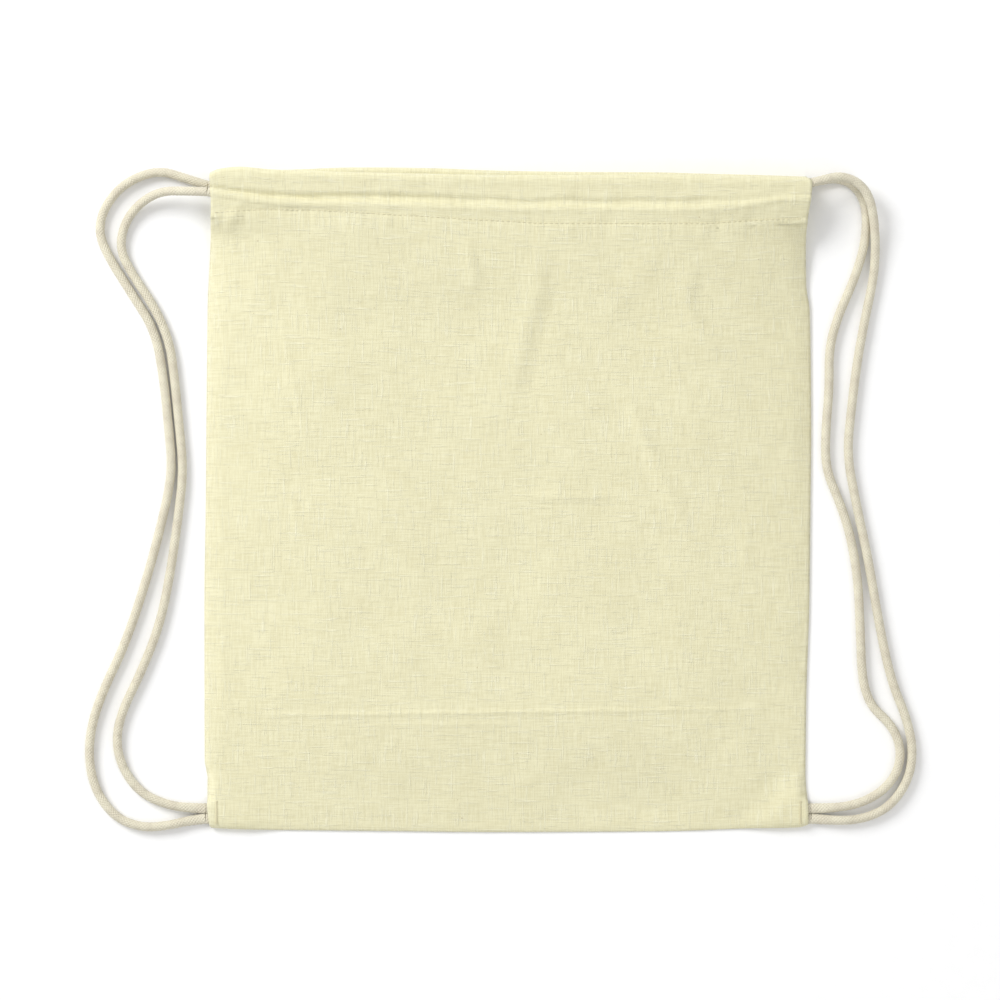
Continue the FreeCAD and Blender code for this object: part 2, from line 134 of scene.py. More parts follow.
class Nodes:
    """A material's node tree, with short ways to add maths to it."""

    def __init__(self, name):
        self.material = bpy.data.materials.new(name)
        self.material.use_nodes = True
        self.tree = self.material.node_tree
        self.shader = self.tree.nodes["Principled BSDF"]

    def add(self, kind, **settings):
        node = self.tree.nodes.new(kind)
        for name, value in settings.items():
            setattr(node, name, value)
        return node

    def join(self, source, target):
        self.tree.links.new(source, target)

    def maths(self, operation, a, b=None, c=None):
        node = self.add("ShaderNodeMath", operation=operation)
        for socket, value in zip(node.inputs, (a, b, c)):
            if value is None:
                continue
            if isinstance(value, (int, float)):
                socket.default_value = value
            else:
                self.join(value, socket)
        return node.outputs[0]

    def place(self, scale):
        """The cloth's own coordinates in metres, stretched by scale."""
        source = self.add("ShaderNodeUVMap", uv_map="cloth")
        mapping = self.add("ShaderNodeMapping")
        mapping.inputs["Scale"].default_value = scale
        self.join(source.outputs["UV"], mapping.inputs["Vector"])
        return mapping.outputs["Vector"]

    def noise(self, scale, detail=2.0, roughness=0.5):
        node = self.add("ShaderNodeTexNoise")
        node.inputs["Scale"].default_value = 1
        node.inputs["Detail"].default_value = detail
        node.inputs["Roughness"].default_value = roughness
        self.join(self.place(scale), node.inputs["Vector"])
        return node.outputs["Fac"]

    def spread(self, value, low, high):
        """value stretched so that low gives 0 and high gives 1, with soft ends."""
        node = self.add("ShaderNodeMapRange", interpolation_type="SMOOTHSTEP")
        node.inputs["From Min"].default_value = low
        node.inputs["From Max"].default_value = high
        self.join(value, node.inputs["Value"])
        return node.outputs["Result"]

    def blend(self, amount, first, second):
        node = self.add("ShaderNodeMix", data_type="RGBA")
        self.join(amount, node.inputs["Factor"])
        for socket, colour in ((node.inputs[MIX_FIRST], first), (node.inputs[MIX_SECOND], second)):
            if isinstance(colour, tuple):
                socket.default_value = (*colour, 1)
            else:
                self.join(colour, socket)
        return node.outputs[MIX_RESULT]

    def bump(self, height, distance, strength=1.0, under=None):
        node = self.add("ShaderNodeBump")
        node.inputs["Distance"].default_value = distance
        node.inputs["Strength"].default_value = strength
        self.join(height, node.inputs["Height"])
        if under is not None:
            self.join(under, node.inputs["Normal"])
        return node.outputs["Normal"]

    def finish(self, colour, roughness, normal, sheen):
        self.join(colour, self.shader.inputs["Base Color"])
        self.join(roughness, self.shader.inputs["Roughness"])
        self.join(normal, self.shader.inputs["Normal"])
        self.shader.inputs["Sheen Weight"].default_value = sheen
        self.shader.inputs["Sheen Roughness"].default_value = 0.45
        self.shader.inputs["Specular IOR Level"].default_value = 0.25
        return self.material


def weave_height(nodes, pitch):
    """Threads that pass over and under each other, one thread to a pitch."""
    parts = nodes.add("ShaderNodeSeparateXYZ")
    turns = math.pi / pitch
    nodes.join(nodes.place((turns, turns, 1)), parts.inputs[0])
    across = nodes.maths("SINE", parts.outputs["X"])
    along = nodes.maths("SINE", parts.outputs["Y"])
    return nodes.maths("MULTIPLY", across, along)


def cotton_cloth():
    """Unbleached plain-weave cotton: slubby threads both ways, soft blotches and a few seed flecks."""
    nodes = Nodes("natural_cotton")
    shaded, lit, slub = (0.712, 0.668, 0.428), (0.846, 0.812, 0.562), (0.890, 0.865, 0.640)
    seed, rubbed = (0.42, 0.33, 0.17), (0.90, 0.87, 0.66)
    warp = nodes.noise((1300, 62, 1), detail=3)
    weft = nodes.noise((62, 1300, 1), detail=3)
    thick_warp = nodes.spread(nodes.noise((820, 48, 1)), 0.585, 0.68)
    thick_weft = nodes.spread(nodes.noise((48, 820, 1)), 0.585, 0.68)
    threads = nodes.maths("ADD", warp, weft)
    slubs = nodes.maths("ADD", thick_warp, thick_weft)
    blotch = nodes.noise((26, 26, 1), detail=4, roughness=0.6)
    crinkle = nodes.noise((240, 240, 1), detail=4, roughness=0.6)
    fleck = nodes.spread(nodes.noise((420, 420, 1), detail=1), 0.77, 0.82)
    thread_shade = nodes.spread(threads, 0.7, 1.3)
    shade = nodes.maths("MULTIPLY", thread_shade, 0.78)
    shade = nodes.maths("ADD", shade, nodes.maths("MULTIPLY", nodes.spread(blotch, 0.2, 0.8), 0.22))
    colour = nodes.blend(shade, shaded, lit)
    lifted = nodes.maths("MULTIPLY", slubs, 0.5)
    colour = nodes.blend(lifted, colour, slub)
    colour = nodes.blend(nodes.maths("MULTIPLY", fleck, 0.5), colour, seed)
    wear = nodes.add("ShaderNodeAttribute", attribute_name="wear").outputs["Fac"]
    worn = nodes.maths("MULTIPLY", wear, nodes.spread(crinkle, 0.35, 0.65))
    colour = nodes.blend(nodes.maths("MULTIPLY", worn, 0.45), colour, rubbed)
    roughness = nodes.maths("MULTIPLY_ADD", thread_shade, 0.14, 0.8)
    low = nodes.bump(crinkle, 0.35 * MM)
    middle = nodes.bump(nodes.maths("ADD", threads, slubs), 0.14 * MM, under=low)
    top = nodes.bump(weave_height(nodes, 0.55 * MM), 0.06 * MM, under=middle)
    return nodes.finish(colour, roughness, top, 0.3)


def cotton_cord():
    """Braided cotton cord: fine fibres along each yarn, with painted shade between the yarns and in their
    hollows.
    """
    nodes = Nodes("braided_cotton")
    shaded, lit, fibre = (0.745, 0.690, 0.545), (0.830, 0.785, 0.620), (0.880, 0.850, 0.720)
    # The last two colours are painted shade, for the gaps and hollows between the yarns.
    between, hollow_shade_colour = (0.560, 0.500, 0.360), (0.520, 0.465, 0.330)
    fine_pitch = 4.2 * MM
    hollow_shade_mask = nodes.add("ShaderNodeAttribute", attribute_name="hollow_shade_mask").outputs["Fac"]
    wander = nodes.maths("MULTIPLY", nodes.noise((500, 500, 1), detail=2), 1.6)
    parts = nodes.add("ShaderNodeSeparateXYZ")
    nodes.join(nodes.place((YARNS / CORD_DIAMETER, 2 * math.pi / fine_pitch, 1)), parts.inputs[0])
    one_way = nodes.maths("ADD", nodes.maths("ADD", parts.outputs["X"], parts.outputs["Y"]), wander)
    other_way = nodes.maths("SUBTRACT", parts.outputs["X"], parts.outputs["Y"])
    ridges = [nodes.maths("ABSOLUTE", nodes.maths("SINE", way)) for way in (one_way, other_way)]
    braid = nodes.maths("ADD", *ridges)
    fibres = nodes.noise((900, 900, 1), detail=4, roughness=0.65)
    along = nodes.noise((30, 90, 1), detail=3)
    colour = nodes.blend(nodes.spread(along, 0.35, 0.65), shaded, lit)
    colour = nodes.blend(nodes.maths("MULTIPLY", nodes.spread(fibres, 0.4, 0.75), 0.4), colour, fibre)
    # Painted shade: darker where the braid pattern dips between the yarns.
    colour = nodes.blend(nodes.maths("MULTIPLY", nodes.spread(braid, 1.1, 0.3), 0.42), colour, between)
    # Painted shade: darker in the hollows between the yarns of the cord's mesh.
    colour = nodes.blend(nodes.maths("MULTIPLY", hollow_shade_mask, 0.45), colour, hollow_shade_colour)
    roughness = nodes.maths("MULTIPLY_ADD", fibres, 0.15, 0.78)
    normal = nodes.bump(fibres, 0.18 * MM, under=nodes.bump(braid, 0.24 * MM))
    return nodes.finish(colour, roughness, normal, 0.35)


def cotton_thread():
    """Sewing thread: two plies twisted together, a little shinier than the cloth."""
    nodes = Nodes("sewing_thread")
    shaded, lit = (0.700, 0.640, 0.420), (0.800, 0.760, 0.560)
    round_it, along_it = 3200, 5200
    parts = nodes.add("ShaderNodeSeparateXYZ")
    nodes.join(nodes.place((round_it, along_it, 1)), parts.inputs[0])
    twist = nodes.maths("SINE", nodes.maths("ADD", parts.outputs["X"], parts.outputs["Y"]))
    fluff = nodes.noise((2500, 2500, 1), detail=3)
    colour = nodes.blend(nodes.spread(fluff, 0.3, 0.7), shaded, lit)
    roughness = nodes.maths("MULTIPLY_ADD", fluff, 0.2, 0.55)
    normal = nodes.bump(twist, 0.05 * MM)
    return nodes.finish(colour, roughness, normal, 0.2)


def floor_paper():
    """The pale studio floor, with a very fine paper grain."""
    nodes = Nodes("studio_paper")
    grain = nodes.add("ShaderNodeTexNoise")
    grain.inputs["Scale"].default_value = 900
    colour = nodes.blend(grain.outputs["Fac"], (0.93, 0.93, 0.93), (0.97, 0.97, 0.97))
    nodes.join(colour, nodes.shader.inputs["Base Color"])
    nodes.shader.inputs["Roughness"].default_value = 0.9
    return nodes.material


cloth_material = cotton_cloth()
cord_material = cotton_cord()
thread_material = cotton_thread()

# ---- shapes made from numbers -------------------------------------------------------------------


def curve_through(points):
    """A smooth function through a few (x, y) points, level beyond its ends."""
    xs, ys = np.array(points, float).T
    rises = np.diff(ys) / np.diff(xs)
    same_way = rises[:-1] * rises[1:] > 0
    safe_sum = np.where(same_way, rises[:-1] + rises[1:], 1)
    inner = np.where(same_way, 2 * rises[:-1] * rises[1:] / safe_sum, 0)
    slopes = np.concatenate([[rises[0]], inner, [rises[-1]]])

    def value(x):
        x = np.clip(x, xs[0], xs[-1])
        left = np.clip(np.searchsorted(xs, x, side="right") - 1, 0, len(xs) - 2)
        width = xs[left + 1] - xs[left]
        t = (x - xs[left]) / width
        start = (2 * t**3 - 3 * t**2 + 1) * ys[left] + (t**3 - 2 * t**2 + t) * width * slopes[left]
        end = (3 * t**2 - 2 * t**3) * ys[left + 1] + (t**3 - t**2) * width * slopes[left + 1]
        return start + end

    return value


def ease(value):
    """0 below 0, 1 above 1, and smooth between."""
    value = np.clip(value, 0, 1)
    return value * value * (3 - 2 * value)


def bell(distance, half_width):
    """1 at no distance, falling smoothly to nearly 0 at twice the half width."""
    return np.exp(-((distance / half_width) ** 2))


def waves(x, y, size, seed):
    """Smooth noise from about -1 to 1, the same on every run, with bumps of about that size."""
    gain = 1.6
    flat_x, flat_y = np.ravel(x), np.ravel(y)
    values = [noise.noise(Vector((a / size, b / size, seed))) for a, b in zip(flat_x, flat_y)]
    return np.array(values).reshape(np.shape(x)) * gain


def grid_faces(row_count, column_count):
    """The four-sided faces between points that are listed row by row."""
    faces = []
    for row in range(row_count - 1):
        for column in range(column_count - 1):
            here = row * column_count + column
            after = here + column_count
            faces.append((here, after, after + 1, here + 1))
    return faces


def ring_faces(first, ring_count, around):
    """The faces of a closed tube whose rings of points start at first, with its two ends last."""
    faces = []
    for ring in range(ring_count - 1):
        here = first + ring * around
        after = here + around
        for place in range(around):
            beside = (place + 1) % around
            faces.append((here + place, after + place, after + beside, here + beside))
    last = first + (ring_count - 1) * around
    faces.append(tuple(range(first, first + around)))
    faces.append(tuple(reversed(range(last, last + around))))
    return faces


def make_object(name, vertices, faces, material, uvs, values=None, girth=None):
    """A smooth-shaded mesh. uvs and values hold one entry for each vertex. girth is the width at which
    a tube's U starts again, so that the faces across that line are mended; its two ends come last."""
    mesh = bpy.data.meshes.new(name)
    mesh.from_pydata([tuple(v) for v in vertices], [], faces)
    layer = mesh.uv_layers.new(name="cloth")
    loops = np.zeros(len(mesh.loops), np.int32)
    mesh.loops.foreach_get("vertex_index", loops)
    corner_uvs = np.asarray(uvs, np.float32)[loops]
    if girth:
        quads = len(faces) - 2
        sides = corner_uvs[:4 * quads].reshape(quads, 4, 2)
        torn = sides[:, :, 0].max(axis=1) - sides[:, :, 0].min(axis=1) > girth / 2
        low_corners = torn[:, None] & (sides[:, :, 0] < girth / 2)
        sides[:, :, 0] += girth * low_corners
    layer.data.foreach_set("uv", corner_uvs.ravel())
    for label, numbers in (values or {}).items():
        attribute = mesh.attributes.new(label, "FLOAT", "POINT")
        attribute.data.foreach_set("value", np.asarray(numbers, np.float32))
    mesh.polygons.foreach_set("use_smooth", [True] * len(mesh.polygons))
    mesh.materials.append(material)
    piece = bpy.data.objects.new(name, mesh)
    bpy.context.scene.collection.objects.link(piece)
    return piece


# ---- cords --------------------------------------------------------------------------------------

BRAID_PITCH = 21 * MM
YARN_RELIEF = 0.42 * MM
YARN_DIP = 0.55
UNEVENNESS = 0.02
UNEVEN_RATE = 140
FLAT_SPREAD = 0.35
LINE_STEPS = 40
STRAND_STEP, STRAND_SIDES = 0.6 * MM, 32
HIDDEN_STEP, HIDDEN_SIDES = 1.2 * MM, 20


def smooth_line(points):
    """The points of the smooth line that has these as its control points."""
    data = bpy.data.curves.new("route", "CURVE")
    data.dimensions = "3D"
    data.resolution_u = LINE_STEPS
    spline = data.splines.new("NURBS")
    spline.points.add(len(points) - 1)
    for point, place in zip(spline.points, points):
        point.co = (*place, 1)
    spline.order_u = 3
    spline.use_endpoint_u = True
    holder = bpy.data.objects.new("route", data)
    bpy.context.scene.collection.objects.link(holder)
    bpy.context.view_layer.update()
    mesh = bpy.data.meshes.new_from_object(holder)
    line = np.array([v.co for v in mesh.vertices])
    bpy.data.objects.remove(holder)
    bpy.data.meshes.remove(mesh)
    return line


def even_steps(line, step):
    """The same line with its points about one step apart."""
    lengths = np.concatenate([[0], np.cumsum(np.linalg.norm(np.diff(line, axis=0), axis=1))])
    count = max(int(lengths[-1] / step), 2)
    places = np.linspace(0, lengths[-1], count + 1)
    return np.stack([np.interp(places, lengths, line[:, axis]) for axis in range(3)], 1), places


def braided_tube(name, line, step, around, flatten=None):
    """A round braid along a line. flatten gives its height as a share of its width at each place."""
    centres, lengths = even_steps(line, step)
    ahead = np.gradient(centres, axis=0)
    ahead /= np.linalg.norm(ahead, axis=1)[:, None]
    side = np.cross(ahead, [0, 0, 1.0])
    side /= np.linalg.norm(side, axis=1)[:, None]
    up = np.cross(side, ahead)
    angle = np.arange(around) / around * 2 * math.pi
    turns, travel = np.meshgrid(angle / (2 * math.pi) * YARNS, lengths * YARNS / BRAID_PITCH)
    one_way, other_way = turns + travel, turns - travel
    over = (np.floor(one_way) + np.floor(other_way)) % 2 < 1
    across = np.where(over, one_way % 1, other_way % 1) * 2 - 1
    along = np.where(over, other_way % 1, one_way % 1) * 2 - 1
    crown = np.sqrt(np.clip(1 - across**2, 0, 1)) * (1 - YARN_DIP * along**2)
    seed = len(name) * 1.7
    uneven = np.array([noise.noise(Vector((place * UNEVEN_RATE, seed, 0))) for place in lengths])
    girth_share = 1 - UNEVENNESS + UNEVENNESS * uneven[:, None]
    radius = cord_radius * girth_share - YARN_RELIEF * (1 - crown)
    height = np.ones(len(centres)) if flatten is None else flatten(lengths / lengths[-1])
    width = 1 + FLAT_SPREAD * (1 - height)
    rings = (
        centres[:, None]
        + side[:, None] * (radius * np.cos(angle) * width[:, None])[..., None]
        + up[:, None] * (radius * np.sin(angle))[..., None]
    )
    rings[..., 2] *= height[:, None]
    vertices = rings.reshape(-1, 3)
    faces = ring_faces(0, len(centres), around)
    u, v = np.meshgrid(angle * cord_radius, lengths)
    uvs = np.stack([u.ravel(), v.ravel()], 1)
    # How deep each point lies between the yarns; the cord's material paints shade there.
    hollow_shade_mask = (1 - crown).ravel() ** 1.5
    girth = 2 * math.pi * cord_radius
    piece = make_object(name, vertices, faces, cord_material, uvs, {"hollow_shade_mask": hollow_shade_mask}, girth)
    return piece, centres


STRAND_ROUTES = {
    "left_outer_strand": [
        (-0.1901, 0.1989, 0.0041), (-0.2040, 0.2032, 0.0035), (-0.2220, 0.2090, 0.0030),
        (-0.2430, 0.2010, 0.0030), (-0.2560, 0.1860, 0.0030), (-0.2600, 0.1700, 0.0030),
        (-0.2540, 0.1545, 0.0030), (-0.2395, 0.1315, 0.0030), (-0.2238, 0.1070, 0.0030),
        (-0.2184, 0.0760, 0.0030), (-0.2154, 0.0460, 0.0030), (-0.2130, 0.0190, 0.0030),
        (-0.2180, -0.0080, 0.0030), (-0.2290, -0.0500, 0.0030), (-0.2430, -0.0920, 0.0030),
        (-0.2570, -0.1210, 0.0030), (-0.2650, -0.1450, 0.0030), (-0.2660, -0.1680, 0.0030),
        (-0.2605, -0.1870, 0.0030), (-0.2485, -0.2020, 0.0030), (-0.2320, -0.2080, 0.0030),
        (-0.2160, -0.2066, 0.0030), (-0.2035, -0.2036, 0.0035), (-0.1918, -0.2022, 0.0044),
    ],
    "left_inner_strand": [
        (-0.1897, 0.1941, 0.0171), (-0.2040, 0.1946, 0.0156), (-0.2200, 0.1950, 0.0095),
        (-0.2340, 0.1875, 0.0046), (-0.2435, 0.1750, 0.0030), (-0.2465, 0.1585, 0.0030),
        (-0.2380, 0.1420, 0.0030), (-0.2243, 0.1219, 0.0030), (-0.2148, 0.1002, 0.0030),
        (-0.2116, 0.0760, 0.0030), (-0.2086, 0.0460, 0.0030), (-0.2060, 0.0180, 0.0030),
        (-0.2095, -0.0120, 0.0030), (-0.2140, -0.0450, 0.0030), (-0.2210, -0.0800, 0.0030),
        (-0.2340, -0.1120, 0.0030), (-0.2450, -0.1340, 0.0030), (-0.2490, -0.1530, 0.0030),
        (-0.2445, -0.1710, 0.0030), (-0.2330, -0.1860, 0.0030), (-0.2175, -0.1930, 0.0030),
        (-0.2040, -0.1954, 0.0035), (-0.1915, -0.1958, 0.0044),
    ],
    "right_upper_strand": [
        (0.1901, 0.1993, 0.0171), (0.1986, 0.2018, 0.0166), (0.2080, 0.2040, 0.0154),
        (0.2170, 0.2022, 0.0138), (0.2244, 0.1968, 0.0120), (0.2288, 0.1885, 0.0106),
        (0.2313, 0.1760, 0.0082), (0.2325, 0.1600, 0.0050), (0.2315, 0.1410, 0.0030),
        (0.2260, 0.1150, 0.0030), (0.2210, 0.0880, 0.0030), (0.2173, 0.0580, 0.0030),
        (0.2145, 0.0290, 0.0030), (0.2195, 0.0010, 0.0030), (0.2280, -0.0380, 0.0030),
        (0.2350, -0.0800, 0.0030), (0.2425, -0.1150, 0.0030), (0.2525, -0.1390, 0.0030),
        (0.2565, -0.1590, 0.0030), (0.2535, -0.1780, 0.0030), (0.2415, -0.1950, 0.0030),
        (0.2250, -0.2024, 0.0030), (0.2080, -0.2036, 0.0034), (0.1917, -0.2022, 0.0044),
    ],
    "right_lower_strand": [
        (0.1898, 0.2004, 0.0041), (0.1980, 0.2022, 0.0036), (0.2070, 0.2036, 0.0030),
        (0.2155, 0.2013, 0.0030), (0.2220, 0.1955, 0.0030), (0.2260, 0.1870, 0.0030),
        (0.2270, 0.1745, 0.0030), (0.2250, 0.1580, 0.0030), (0.2185, 0.1380, 0.0030),
        (0.2090, 0.1170, 0.0030), (0.2030, 0.0960, 0.0030), (0.2033, 0.0700, 0.0030),
        (0.2008, 0.0420, 0.0030), (0.2010, 0.0190, 0.0030), (0.2100, -0.0020, 0.0030),
        (0.2165, -0.0220, 0.0030), (0.2215, -0.0500, 0.0030), (0.2230, -0.0860, 0.0030),
        (0.2240, -0.1140, 0.0030), (0.2295, -0.1310, 0.0030), (0.2420, -0.1420, 0.0030),
        (0.2486, -0.1560, 0.0030), (0.2474, -0.1710, 0.0030), (0.2388, -0.1834, 0.0030),
        (0.2250, -0.1918, 0.0030), (0.2080, -0.1956, 0.0030), (0.1915, -0.1958, 0.0044),
    ],
}
FOOT_FROM = 0.955
FOOT_SQUEEZE = 0.38


def squeezed_foot(share):
    """A strand is round, but pressed flat towards the floor where it goes into the seam."""
    return 1 - FOOT_SQUEEZE * ease((share - FOOT_FROM) / (1 - FOOT_FROM))


def make_strand(name, route):
    """One free strand, as a braided tube along its route, squeezed flat at its foot."""
    line = smooth_line(route)
    piece, centres = braided_tube(name + "_braid", line, STRAND_STEP, STRAND_SIDES, squeezed_foot)
    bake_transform(piece)
    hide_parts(name)


for strand, route in STRAND_ROUTES.items():
    make_strand(strand, route)

# ---- the cloth: one strip, from the front hem over the bag and round to the back hem -------------

LEFT_EDGE = curve_through([
    (-0.210, -0.1862), (-0.206, -0.1896), (-0.193, -0.1909), (-0.174, -0.1908), (-0.166, -0.1926),
    (-0.064, -0.1928), (0.0, -0.1919), (0.044, -0.1916), (0.088, -0.1912), (0.126, -0.1906),
    (0.143, -0.1897), (0.170, -0.1882), (0.189, -0.1876), (0.203, -0.1884), (0.212, -0.1870),
])
RIGHT_EDGE = curve_through([
    (-0.210, 0.1868), (-0.205, 0.1900), (-0.192, 0.1897), (-0.177, 0.1883), (-0.127, 0.1888),
    (-0.064, 0.1908), (0.0, 0.1915), (0.044, 0.1919), (0.094, 0.1915), (0.120, 0.1909),
    (0.136, 0.1887), (0.165, 0.1882), (0.177, 0.1888), (0.192, 0.1908), (0.199, 0.1912), (0.206, 0.1880),
])
BOTTOM_EDGE = curve_through([
    (-0.193, -0.2055), (-0.188, -0.2080), (-0.1625, -0.2092), (-0.094, -0.2100), (-0.009, -0.2108),
    (0.096, -0.2104), (0.121, -0.2098), (0.152, -0.2086), (0.186, -0.2078), (0.193, -0.2050),
])
FRONT_FOLD = curve_through([
    (-0.190, 0.2050), (-0.182, 0.2086), (-0.170, 0.2098), (-0.150, 0.2082), (-0.120, 0.2070),
    (-0.070, 0.2058), (0.0, 0.2046), (0.035, 0.2045), (0.096, 0.2049), (0.121, 0.2046),
    (0.157, 0.2038), (0.186, 0.2034), (0.192, 0.2026),
])
BACK_FOLD = curve_through([
    (-0.190, 0.2062), (-0.176, 0.2090), (-0.150, 0.2088), (-0.094, 0.2104), (-0.051, 0.2100),
    (-0.009, 0.2085), (0.039, 0.2076), (0.096, 0.2073), (0.121, 0.2066), (0.157, 0.2057), (0.192, 0.2046),
])
HEM_STITCHES = curve_through([
    (-0.190, 0.1795), (-0.150, 0.1815), (-0.060, 0.1775), (-0.010, 0.1745), (0.030, 0.1728),
    (0.120, 0.1727), (0.150, 0.1745), (0.190, 0.1762),
])
UPPER_CORD = curve_through([
    (-0.174, 0.2041), (-0.120, 0.2027), (-0.060, 0.2013), (0.0, 0.2004), (0.060, 0.2000),
    (0.120, 0.1998), (0.190, 0.1993),
])
LOWER_CORD = curve_through([
    (-0.190, 0.1941), (-0.170, 0.1900), (-0.150, 0.1873), (-0.120, 0.1860), (-0.055, 0.1846),
    (0.009, 0.1826), (0.104, 0.1824), (0.140, 0.1844), (0.174, 0.1893),
])
DARK_GROOVE = curve_through([
    (-0.190, 0.1985), (-0.160, 0.1945), (-0.148, 0.1928), (-0.055, 0.1920), (0.009, 0.1895),
    (0.104, 0.1890), (0.150, 0.1905), (0.190, 0.1930),
])
MIDDLE_HEIGHT = curve_through([
    (-0.210, 0.0062), (-0.150, 0.0074), (-0.060, 0.0086), (0.040, 0.0103), (0.110, 0.0128),
    (0.155, 0.0175), (0.178, 0.0193), (0.210, 0.0194),
])
EDGE_HEIGHT = curve_through([
    (-0.210, 0.00135), (0.080, 0.00135), (0.110, 0.0016), (0.135, 0.0026), (0.150, 0.0044),
    (0.160, 0.0062), (0.166, 0.0082), (0.172, 0.0122), (0.178, 0.0165), (0.184, 0.0184), (0.210, 0.0188),
])
BACK_EDGE_HEIGHT = curve_through([
    (-0.210, 0.00005), (0.080, 0.00005), (0.110, 0.0003), (0.135, 0.0015), (0.150, 0.0033),
    (0.160, 0.0051), (0.166, 0.0071), (0.172, 0.0046), (0.178, 0.0020), (0.184, 0.0006), (0.190, 0.00005),
])

# Folds and creases in the front: the line in (x, y), half width, height, and the step from its
# right side up to its left side as one walks along it.
FOLDS = [
    ([(0.025, 0.167), (0.023, 0.132), (0.0136, 0.101), (0.004, 0.053)], 7.0, 0.10, -0.55),
    ([(-0.025, 0.168), (-0.022, 0.150), (-0.019, 0.130)], 5.0, 0.30, -0.34),
    ([(0.118, 0.152), (0.115, 0.126), (0.124, 0.107), (0.143, 0.090)], 6.0, 0.20, -0.42),
    ([(0.058, 0.079), (0.077, 0.057), (0.089, 0.028), (0.102, 0.0), (0.118, -0.026)], 5.0, 0.42, 0.22),
    ([(0.150, -0.010), (0.153, -0.048)], 4.0, 0.22, -0.15),
    ([(0.004, 0.0015), (0.040, 0.001), (0.074, 0.0015)], 2.4, 0.32, 0.10),
    ([(-0.187, -0.137), (-0.090, -0.1358), (0.040, -0.134), (0.188, -0.132)], 1.5, 0.24, 0.0),
    ([(-0.100, -0.143), (0.012, -0.142)], 1.3, 0.10, 0.0),
    ([(-0.173, 0.168), (-0.173, 0.132)], 1.6, 0.14, 0.0),
    ([(-0.146, 0.126), (-0.132, 0.057), (-0.125, 0.028)], 1.7, 0.24, 0.0),
    ([(-0.135, 0.004), (-0.135, -0.034)], 2.0, 0.12, 0.0),
    ([(-0.188, -0.168), (-0.157, -0.207)], 3.0, 0.28, 0.1),
    ([(-0.181, -0.086), (-0.181, -0.130)], 1.5, 0.12, 0.0),
    ([(0.075, -0.080), (0.092, -0.100), (0.112, -0.118)], 4.0, 0.18, 0.08),
    ([(-0.068, -0.045), (-0.024, -0.057)], 4.0, 0.15, 0.06),
    ([(-0.181, 0.145), (-0.1815, 0.0), (-0.181, -0.177)], 1.7, 0.13, 0.0),
    ([(0.176, -0.165), (0.176, -0.207)], 1.7, 0.15, 0.0),
    ([(-0.180, 0.168), (-0.172, 0.182), (-0.167, 0.194)], 3.0, 0.45, -0.15),
    ([(0.150, 0.194), (0.163, 0.188), (0.178, 0.182)], 3.0, 0.50, 0.15),
    ([(0.100, 0.165), (0.075, 0.128), (0.060, 0.104)], 9.0, 0.18, -0.15),
    ([(-0.105, 0.165), (-0.080, 0.120), (-0.072, 0.080)], 11.0, 0.18, 0.15),
    ([(-0.150, -0.060), (-0.060, -0.090), (0.020, -0.085)], 14.0, 0.22, 0.0),
    ([(0.030, -0.170), (0.080, -0.188), (0.120, -0.192)], 14.0, -0.35, 0.0),
    ([(0.140, -0.150), (0.165, -0.180)], 13.0, 0.25, -0.2),
    ([(-0.120, -0.160), (-0.060, -0.185)], 12.0, 0.22, 0.1),
]
# Small dents and one broad swelling: x, y, size in mm and height in mm.
DIMPLES = [(0.175, 0.082, 7.0, -0.35), (0.159, 0.072, 6.0, -0.28), (-0.030, -0.008, 20.0, 0.2)]
# The cloth's uneven relief: strength in mm, size of its bumps, squeeze along Y, and seed.
RELIEF = [(0.80, 0.085, 1, 3.1), (0.38, 0.031, 1, 7.7), (0.055, 0.011, 1.3, 1.4), (0.03, 0.0055, 1, 5.2)]
FOLD_STRENGTH = 2.3
FOLD_END_FADE = 4
BROAD_RISE, NARROW_RISE, FOOT_RISE = 0.085, 0.014, 0.075
BROAD_SHARE = 0.78
FULLNESS = 1.7
HELD_MARGIN = 0.016
SEAM_WIDTH = 0.006
CORNER_X, CORNER_Y = 0.1885, -0.2075
CORNER_REACH, CORNER_SOFTNESS = 0.050, 0.028
CORNER_HEIGHT = 5.4 * MM
SEAM_END_Y, SEAM_END_SOFTNESS = -0.1925, 0.004
COVER_END_Y, COVER_END_SOFTNESS = -0.2090, 0.0034

PLEAT_SIZE = 0.0095
PLEAT_HEIGHT = 0.42 * MM
HEM_TOP = 20.05 * MM
LOWER_RIDGE, LOWER_RIDGE_WIDTH = 0.60 * MM, 0.0028
UPPER_RIDGE, UPPER_RIDGE_WIDTH = 0.62 * MM, 0.0036
GROOVE_SHIFT, GROOVE_WANDER = -1.8, 0.7
GROOVE_DEPTH, GROOVE_CHANGE = 1.75, 0.5
GROOVE_WIDTH_ABOVE, GROOVE_WIDTH_BELOW = 0.0021, 0.0042
COVER_RADIUS = cord_radius + CLOTH_THICKNESS + 0.1 * MM


def fold_height(x, y, line, half_width, height, step):
    """How much one fold lifts the cloth at each place, fading out at the fold's ends."""
    points = np.array(line)
    lengths = np.linalg.norm(np.diff(points, axis=0), axis=1)
    before = np.concatenate([[0], np.cumsum(lengths)])
    nearest = np.full(x.shape, np.inf)
    share = np.zeros(x.shape)
    sign = np.ones(x.shape)
    for number, (start, end) in enumerate(zip(points, points[1:])):
        run = end - start
        along = np.clip(((x - start[0]) * run[0] + (y - start[1]) * run[1]) / (run @ run), 0, 1)
        off_x, off_y = x - start[0] - along * run[0], y - start[1] - along * run[1]
        distance = np.hypot(off_x, off_y)
        closer = distance < nearest
        nearest = np.where(closer, distance, nearest)
        share = np.where(closer, (before[number] + along * lengths[number]) / before[-1], share)
        sign = np.where(closer, np.sign(run[0] * off_y - run[1] * off_x), sign)
    across = nearest / (half_width * MM)
    fade = ease(share * FOLD_END_FADE) * ease((1 - share) * FOLD_END_FADE)
    lift = height * np.exp(-(across**2)) + step * sign * across * np.exp(-(across**2) * 0.8)
    return lift * fade * FOLD_STRENGTH * MM


